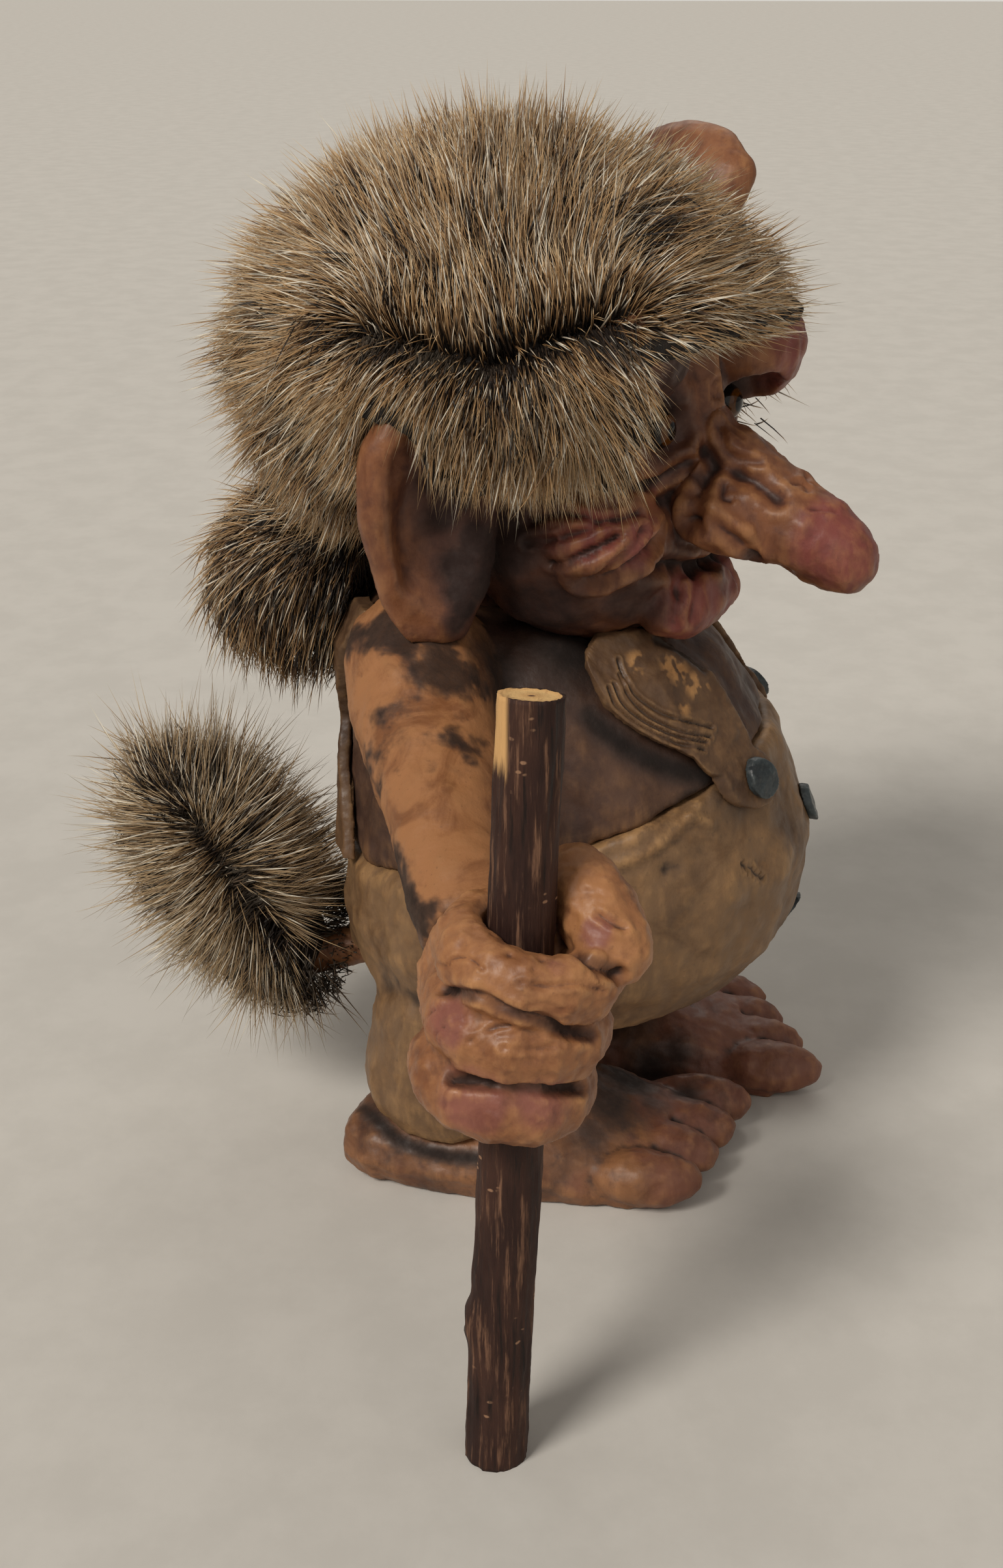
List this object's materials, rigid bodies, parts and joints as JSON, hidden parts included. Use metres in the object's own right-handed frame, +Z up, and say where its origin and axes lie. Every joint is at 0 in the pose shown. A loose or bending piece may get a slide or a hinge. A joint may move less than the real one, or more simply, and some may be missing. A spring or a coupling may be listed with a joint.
{
  "type": "norwegian troll figure",
  "caption": "Barefoot folk troll figure with a long nose, fur wig and fur-tipped tail, braces over a round belly, and a loose twig staff standing through its fist.",
  "frame": {"origin": "middle of the whole figure's outline, on the floor that it stands on", "axes": "+Z up, -Y the way that the body faces, -X to the troll's right, where the staff stands"},
  "size_m": [0.253, 0.1962, 0.2621],
  "materials": {
    "skin_paint": "matte paint, dark in the creases",
    "shirt_paint": "matte paint, mottled brown",
    "trouser_paint": "matte paint, mottled olive tan",
    "brace_paint": "matte paint, reddish brown",
    "button_paint": "matte paint, blue grey",
    "wig_fur": "long pile fur, banded grey brown",
    "tail_fur": "long pile fur, banded grey brown",
    "eye_glass": "glossy dark amber",
    "twig": "bark, with sawn ends"
  },
  "bodies": {
    "figure": {"back_braces": "brace_paint", "fur_back": "wig_fur", "fur_crown": "wig_fur", "fur_left": "wig_fur", "fur_nape": "wig_fur", "fur_right": "wig_fur", "head": "skin_paint", "left_arm": "shirt_paint", "left_brace": "brace_paint", "left_brace_button": "button_paint", "left_ear": "skin_paint", "left_eye": "eye_glass", "left_foot": "skin_paint", "left_hand": "skin_paint", "left_leg": "trouser_paint", "lower_fly_button": "button_paint", "nose": "skin_paint", "right_arm": "shirt_paint", "right_brace": "brace_paint", "right_brace_button": "button_paint", "right_ear": "skin_paint", "right_eye": "eye_glass", "right_foot": "skin_paint", "right_hand": "skin_paint", "right_leg": "trouser_paint", "tail": "skin_paint", "tail_tuft": "tail_fur", "torso": "shirt_paint", "trousers": "trouser_paint", "upper_fly_button": "button_paint"},
    "staff": {"staff": "twig"}
  },
  "joints": [
    {"name": "staff_slide", "type": "slide", "parent": "figure", "child": "staff", "axis": [0, -0.0379, 0.9993], "range_m": [0, 0.04]}
  ]
}
